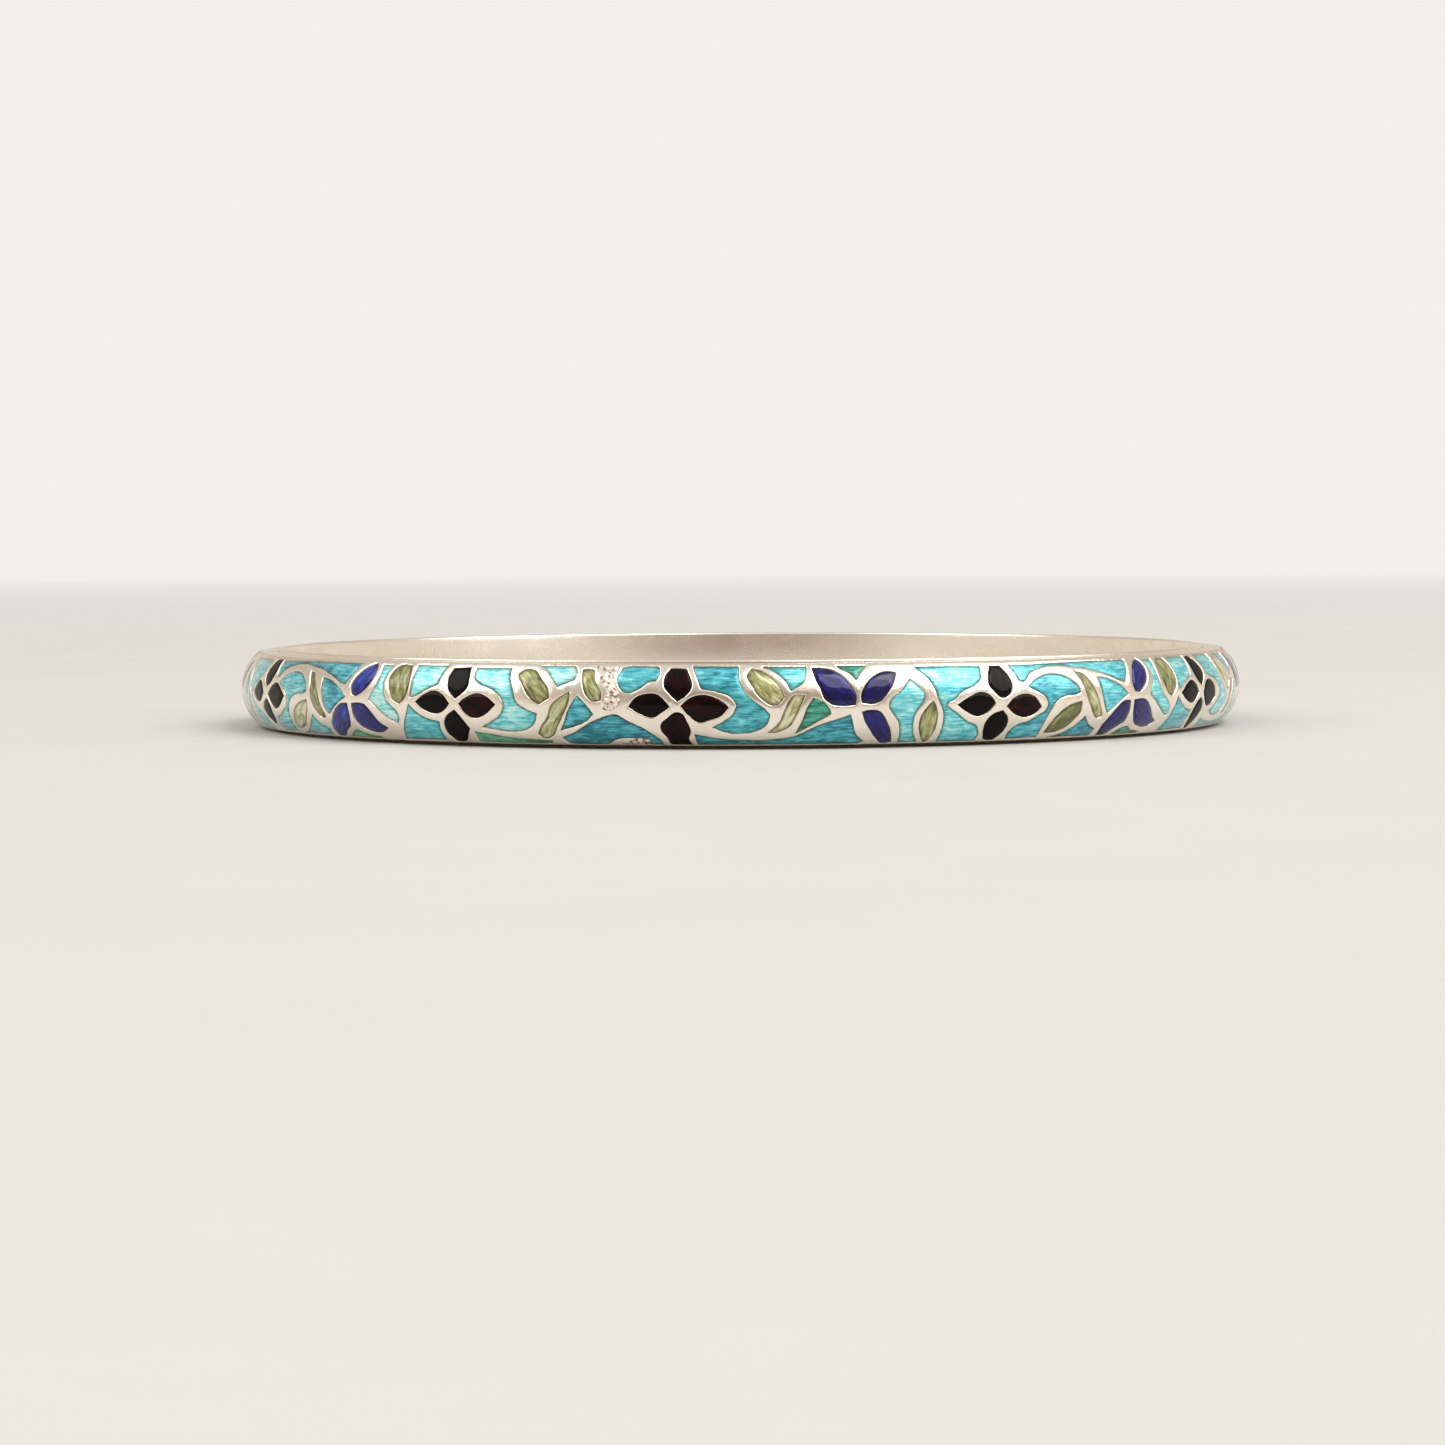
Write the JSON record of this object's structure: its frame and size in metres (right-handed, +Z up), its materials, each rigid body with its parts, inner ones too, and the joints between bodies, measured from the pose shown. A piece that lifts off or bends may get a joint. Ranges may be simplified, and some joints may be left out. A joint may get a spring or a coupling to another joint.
{
  "type": "enamelled silver bangle bracelet",
  "caption": "Rigid closed silver bangle with a domed outer face of turquoise enamel, black and blue flowers and olive leaves between silver lines.",
  "frame": {"origin": "centre of the hand hole, on the plane that the bottom rim rests on", "axes": "+Z up through the hand hole; the soldered seam is near the front, which faces -Y; +X is to the right seen from the front"},
  "size_m": [0.0664, 0.0664, 0.0052],
  "materials": {
    "polished_silver": "polished, hand finished, with fine scratches",
    "seam_solder": "granular and pale, matt beside the polished silver",
    "black_enamel": "glossy, flush with the silver",
    "blue_enamel": "glossy, translucent cobalt",
    "olive_enamel": "glossy, translucent olive",
    "turquoise_enamel": "glossy, translucent, streaked"
  },
  "bodies": {
    "root": {"outer_shell": "polished_silver", "inner_liner": "polished_silver", "seam_solder": "seam_solder", "black_flower_00": "black_enamel", "black_flower_01": "black_enamel", "black_flower_02": "black_enamel", "black_flower_03": "black_enamel", "black_flower_04": "black_enamel", "black_flower_05": "black_enamel", "black_flower_06": "black_enamel", "black_flower_07": "black_enamel", "black_flower_08": "black_enamel", "black_flower_09": "black_enamel", "black_flower_10": "black_enamel", "blue_flower_00": "blue_enamel", "blue_flower_01": "blue_enamel", "blue_flower_02": "blue_enamel", "blue_flower_03": "blue_enamel", "blue_flower_04": "blue_enamel", "blue_flower_05": "blue_enamel", "blue_flower_06": "blue_enamel", "blue_flower_07": "blue_enamel", "blue_flower_08": "blue_enamel", "blue_flower_09": "blue_enamel", "leaf_pair_00": "olive_enamel", "leaf_pair_01": "olive_enamel", "leaf_pair_02": "olive_enamel", "leaf_pair_03": "olive_enamel", "leaf_pair_04": "olive_enamel", "leaf_pair_05": "olive_enamel", "leaf_pair_06": "olive_enamel", "leaf_pair_07": "olive_enamel", "leaf_pair_08": "olive_enamel", "leaf_pair_09": "olive_enamel", "leaf_pair_10": "olive_enamel", "leaf_single_00": "olive_enamel", "leaf_single_01": "olive_enamel", "leaf_single_02": "olive_enamel", "leaf_single_03": "olive_enamel", "leaf_single_04": "olive_enamel", "leaf_single_05": "olive_enamel", "leaf_single_06": "olive_enamel", "leaf_single_07": "olive_enamel", "leaf_single_08": "olive_enamel", "leaf_single_09": "olive_enamel", "leaf_single_10": "olive_enamel", "turquoise_ground_00": "turquoise_enamel", "turquoise_ground_01": "turquoise_enamel", "turquoise_ground_02": "turquoise_enamel", "turquoise_ground_03": "turquoise_enamel", "turquoise_ground_04": "turquoise_enamel", "turquoise_ground_05": "turquoise_enamel", "turquoise_ground_06": "turquoise_enamel", "turquoise_ground_07": "turquoise_enamel", "turquoise_ground_08": "turquoise_enamel", "turquoise_ground_09": "turquoise_enamel", "turquoise_ground_10": "turquoise_enamel"}
  },
  "joints": []
}
